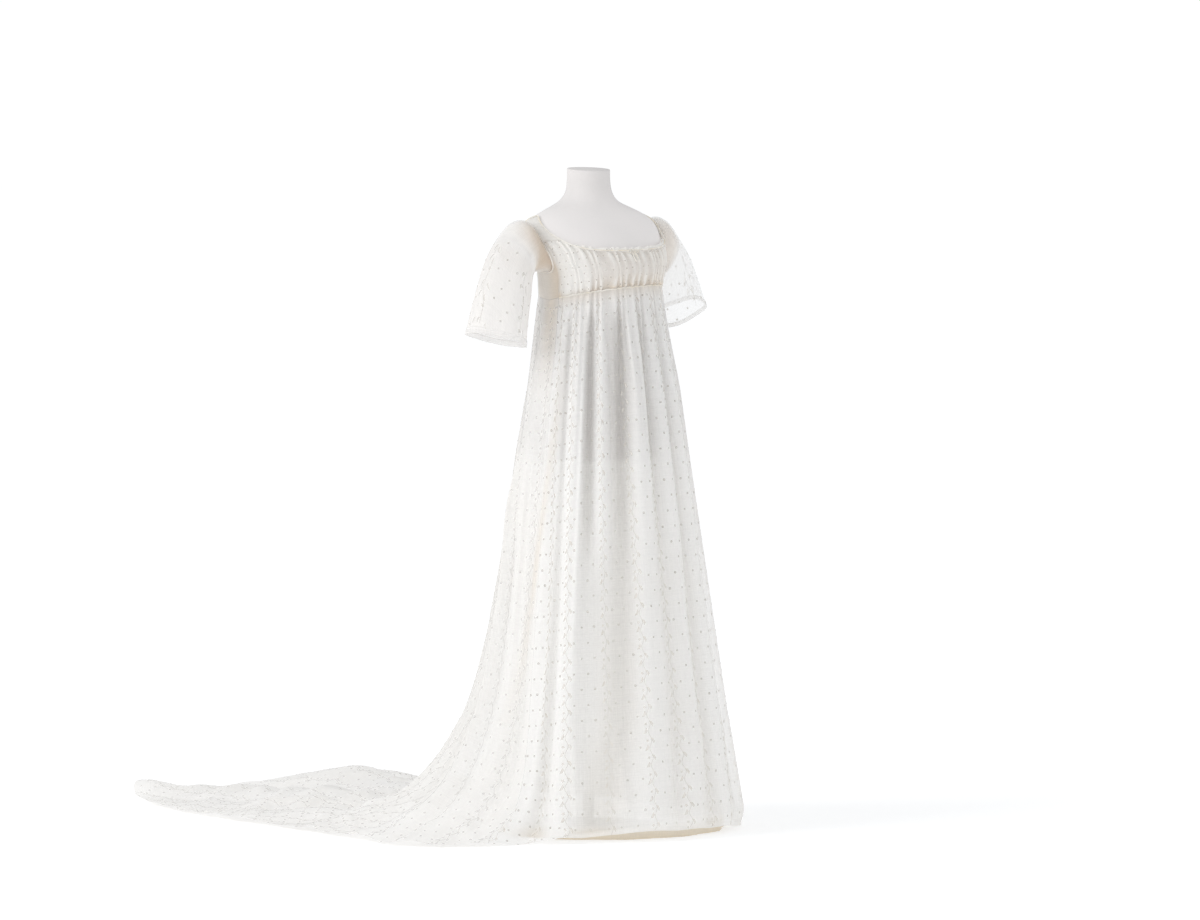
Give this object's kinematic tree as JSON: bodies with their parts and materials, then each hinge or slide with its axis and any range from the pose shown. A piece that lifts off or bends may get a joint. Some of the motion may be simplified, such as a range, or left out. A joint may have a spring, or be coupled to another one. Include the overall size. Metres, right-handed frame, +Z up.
{
  "type": "regency gown on a dress form",
  "caption": "High-waisted white muslin gown with sheer short sleeves, a gathered front and a long train, worn by a limbless dress form on a stand.",
  "frame": {"origin": "on the floor, at the centre of the stand plate's underside, under the middle of the neck", "axes": "+Z up, -Y towards the gown's front, +Y along the train, +X towards the wearer's left"},
  "size_m": [0.9778, 1.5513, 1.4564],
  "materials": {
    "dress_form": "matte",
    "stand": "satin",
    "bodice": "matte",
    "muslin": "matte, sheer",
    "lining": "matte",
    "underskirt": "matte",
    "cord": "matte"
  },
  "bodies": {
    "root": {"dress_form": "dress_form", "stand_plate": "stand", "stand_pole": "stand", "stand_flange": "stand", "bodice_front": "bodice", "bodice_side_right": "bodice", "bodice_side_left": "bodice", "bodice_back_right": "bodice", "bodice_back_left": "bodice", "shoulder_strap_right": "bodice", "shoulder_strap_left": "bodice", "sleeve_right": "muslin", "sleeve_left": "muslin", "sleeve_hem_right": "muslin", "sleeve_hem_left": "muslin", "sleeve_lining_right": "lining", "sleeve_lining_left": "lining", "skirt_front": "muslin", "skirt_back": "muslin", "underskirt": "underskirt", "neck_drawstring": "cord", "waist_drawstring": "cord", "neck_bow_knot": "cord", "neck_bow_loop_right": "cord", "neck_bow_loop_left": "cord", "neck_bow_end_right": "cord", "neck_bow_end_left": "cord"}
  },
  "joints": []
}
